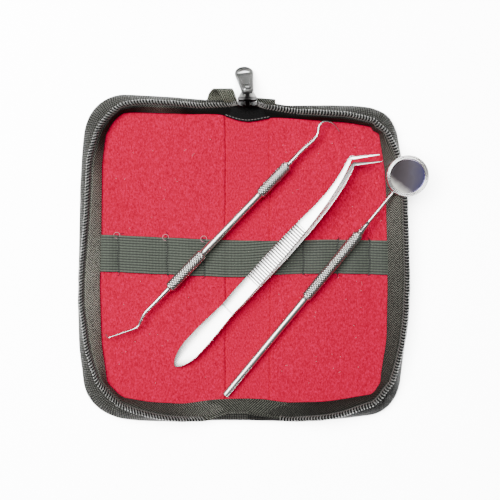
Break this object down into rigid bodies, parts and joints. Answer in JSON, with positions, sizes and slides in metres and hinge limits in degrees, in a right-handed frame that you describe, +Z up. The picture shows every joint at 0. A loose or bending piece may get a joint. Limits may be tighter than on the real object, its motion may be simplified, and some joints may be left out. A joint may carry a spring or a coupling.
{
  "type": "zip-around instrument case",
  "caption": "Book-fold fabric instrument case, unzipped flat as a shallow lined tray, with an elastic band and loose hand instruments.",
  "frame": {"origin": "underside of the spine, at its middle", "axes": "+Z up from the table, +Y along the spine towards the slider, +X towards the right half"},
  "size_m": [0.1892, 0.1984, 0.0252],
  "materials": {
    "outer_fabric": "woven, matte",
    "board": "plain",
    "foam": "soft foam",
    "lining": "brushed, matte",
    "zip_tape": "twill, matte",
    "zip_coil": "satin",
    "zip_metal": "dark, satin",
    "webbing": "twill, matte",
    "elastic": "ribbed, matte",
    "thread": "matte",
    "satin_steel": "satin",
    "bright_steel": "polished",
    "mirror_glass": "polished"
  },
  "bodies": {
    "spine": {"spine_cover": "outer_fabric", "spine_foam": "foam", "spine_lining": "lining", "spine_zip_ends": "zip_coil", "zip_bottom_stop": "zip_metal", "top_zip_patch": "zip_tape", "bottom_zip_patch": "zip_tape", "grip_loop": "webbing", "zip_tape_tail": "zip_tape", "slider_body": "zip_metal", "slider_bail": "zip_metal", "spine_elastic": "elastic"},
    "left_panel": {"left_cover": "outer_fabric", "left_side_wall": "outer_fabric", "left_board": "board", "left_foam": "foam", "left_lining": "lining", "left_zip_tape": "zip_tape", "left_zip_coil": "zip_coil", "left_zip_end_stop": "zip_metal", "left_elastic": "elastic", "left_bar_tacks": "thread"},
    "right_panel": {"right_cover": "outer_fabric", "right_side_wall": "outer_fabric", "right_board": "board", "right_foam": "foam", "right_lining": "lining", "right_zip_tape": "zip_tape", "right_zip_coil": "zip_coil", "right_zip_end_stop": "zip_metal", "right_elastic": "elastic", "right_bar_tacks": "thread"},
    "pull_tab": {"pull_tab": "zip_metal"},
    "probe": {"probe_handle": "satin_steel", "probe_hook_tip": "satin_steel", "probe_angled_tip": "satin_steel"},
    "tweezers": {"tweezers_upper_leaf": "bright_steel", "tweezers_lower_leaf": "bright_steel"},
    "tweezers_upper": {"tweezers_upper_arm": "bright_steel"},
    "tweezers_lower": {"tweezers_lower_arm": "bright_steel"},
    "mirror": {"mirror_handle": "satin_steel", "mirror_stem": "bright_steel", "mirror_cup": "bright_steel", "mirror_glass": "mirror_glass"}
  },
  "joints": [
    {"name": "left_fold", "type": "hinge", "parent": "spine", "child": "left_panel", "pos_m": [-0.011, 0, 0.0016], "axis": [0, 1, 0], "range_deg": [0, 90]},
    {"name": "right_fold", "type": "hinge", "parent": "spine", "child": "right_panel", "pos_m": [0.011, 0, 0.0016], "axis": [0, -1, 0], "range_deg": [0, 90]},
    {"name": "pull_tab_hinge", "type": "hinge", "parent": "spine", "child": "pull_tab", "pos_m": [0, 0.09051, 0.01106], "axis": [1, 0, 0], "range_deg": [0, 105]},
    {"name": "probe_lift", "type": "slide", "parent": "spine", "child": "probe", "axis": [0, 0, 1], "range_m": [0, 0.16]},
    {"name": "tweezers_lift", "type": "slide", "parent": "spine", "child": "tweezers", "axis": [0, 0, 1], "range_m": [0, 0.16]},
    {"name": "mirror_lift", "type": "slide", "parent": "spine", "child": "mirror", "axis": [0, 0, 1], "range_m": [0, 0.16]},
    {"name": "upper_arm_squeeze", "type": "hinge", "parent": "tweezers", "child": "tweezers_upper", "pos_m": [-0.01061, -0.02856, 0.00882], "axis": [-0.6843, 0.6608, -0.3083], "range_deg": [0, 2.5], "stiffness_Nm_per_rad": 3},
    {"name": "lower_arm_squeeze", "type": "hinge", "parent": "tweezers", "child": "tweezers_lower", "pos_m": [-0.01061, -0.02856, 0.00882], "axis": [0.6843, -0.6608, 0.3083], "range_deg": [0, 2.5], "stiffness_Nm_per_rad": 3}
  ],
  "couplings": [
    {"joint": "right_fold", "follows": "left_fold", "ratio": 1},
    {"joint": "probe_lift", "follows": "left_fold", "m_per_rad": 0.1},
    {"joint": "tweezers_lift", "follows": "left_fold", "m_per_rad": 0.1},
    {"joint": "mirror_lift", "follows": "left_fold", "m_per_rad": 0.1},
    {"joint": "lower_arm_squeeze", "follows": "upper_arm_squeeze", "ratio": 1}
  ]
}
